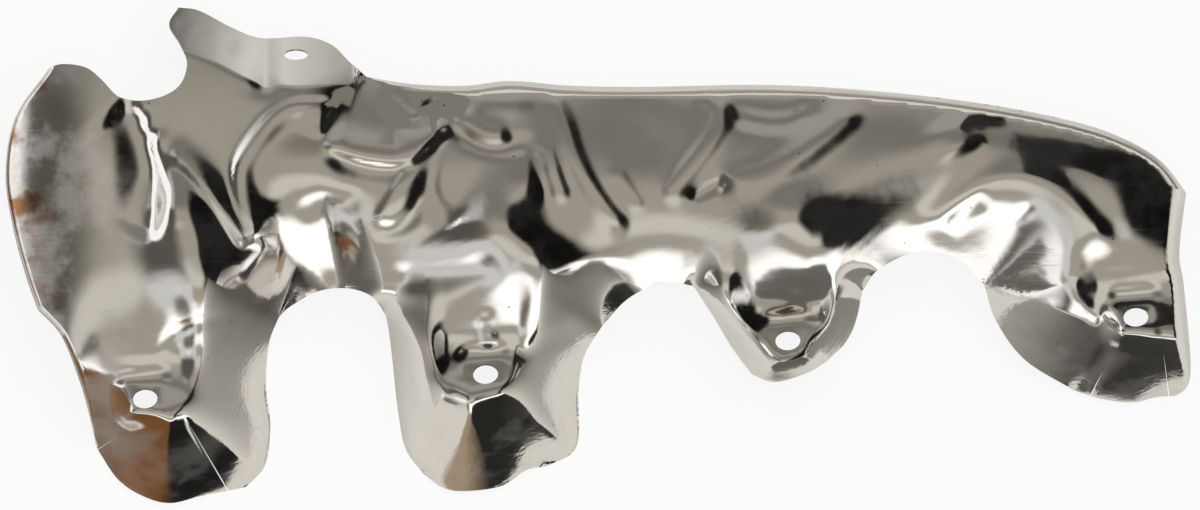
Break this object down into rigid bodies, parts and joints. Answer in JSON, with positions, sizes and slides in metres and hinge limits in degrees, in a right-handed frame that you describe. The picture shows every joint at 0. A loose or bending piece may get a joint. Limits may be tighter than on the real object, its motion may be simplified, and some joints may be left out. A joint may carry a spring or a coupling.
{
  "type": "exhaust heat shield",
  "caption": "Thin pressed steel heat shield for an exhaust manifold, a long creased shell with bolt lobes, arches between them and a top tab.",
  "frame": {"origin": "middle of the shield's outline, on the floor that its rim rests on", "axes": "+X along the shield from the end with the tab to the plain end, +Y up the face from the bolt lobes to the top wall, +Z out through the front face"},
  "size_m": [0.4038, 0.1688, 0.0668],
  "materials": {
    "bright_steel": "bright rolled sheet, creased and finely scratched"
  },
  "bodies": {
    "root": {"heat_shield": "bright_steel"}
  },
  "joints": []
}
